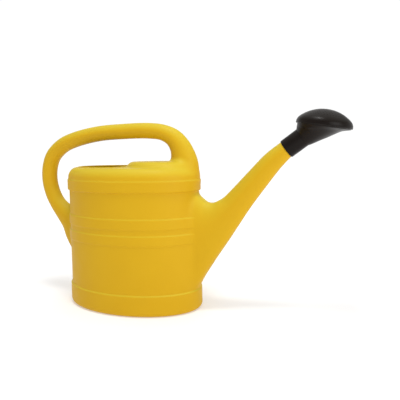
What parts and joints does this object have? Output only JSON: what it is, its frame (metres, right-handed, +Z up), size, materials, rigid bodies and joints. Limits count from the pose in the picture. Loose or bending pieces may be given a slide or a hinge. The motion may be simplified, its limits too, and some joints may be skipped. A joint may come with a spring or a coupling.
{
  "type": "watering can",
  "caption": "Oval plastic watering can with a hollow bow handle, rising spout, rear filling mouth and domed push-on rose.",
  "frame": {"origin": "middle of the oval tank's base, on the surface that the can stands on", "axes": "+X from the tank towards the spout and rose, +Y to the can's left seen from behind, +Z up"},
  "size_m": [0.6462, 0.1866, 0.3855],
  "materials": {
    "yellow_hdpe": "satin blow-moulded HDPE",
    "black_pp": "satin moulded polypropylene"
  },
  "bodies": {
    "can": {"can_body": "yellow_hdpe", "spout": "yellow_hdpe", "handle": "yellow_hdpe"},
    "socket": {"rose_socket": "black_pp"},
    "funnel": {"rose_funnel": "black_pp"},
    "face": {"rose_face": "black_pp"}
  },
  "joints": [
    {"name": "rose_pull", "type": "slide", "parent": "can", "child": "socket", "axis": [0.8049, 0, 0.5934], "range_m": [0, 0.04]},
    {"name": "rose_twist", "type": "hinge", "parent": "socket", "child": "funnel", "pos_m": [0.33971, 0, 0.3368], "axis": [0.8049, 0, 0.5934], "continuous": true},
    {"name": "face_pull", "type": "slide", "parent": "funnel", "child": "face", "axis": [0.1547, 0, 0.988], "range_m": [0, 0.03]}
  ]
}
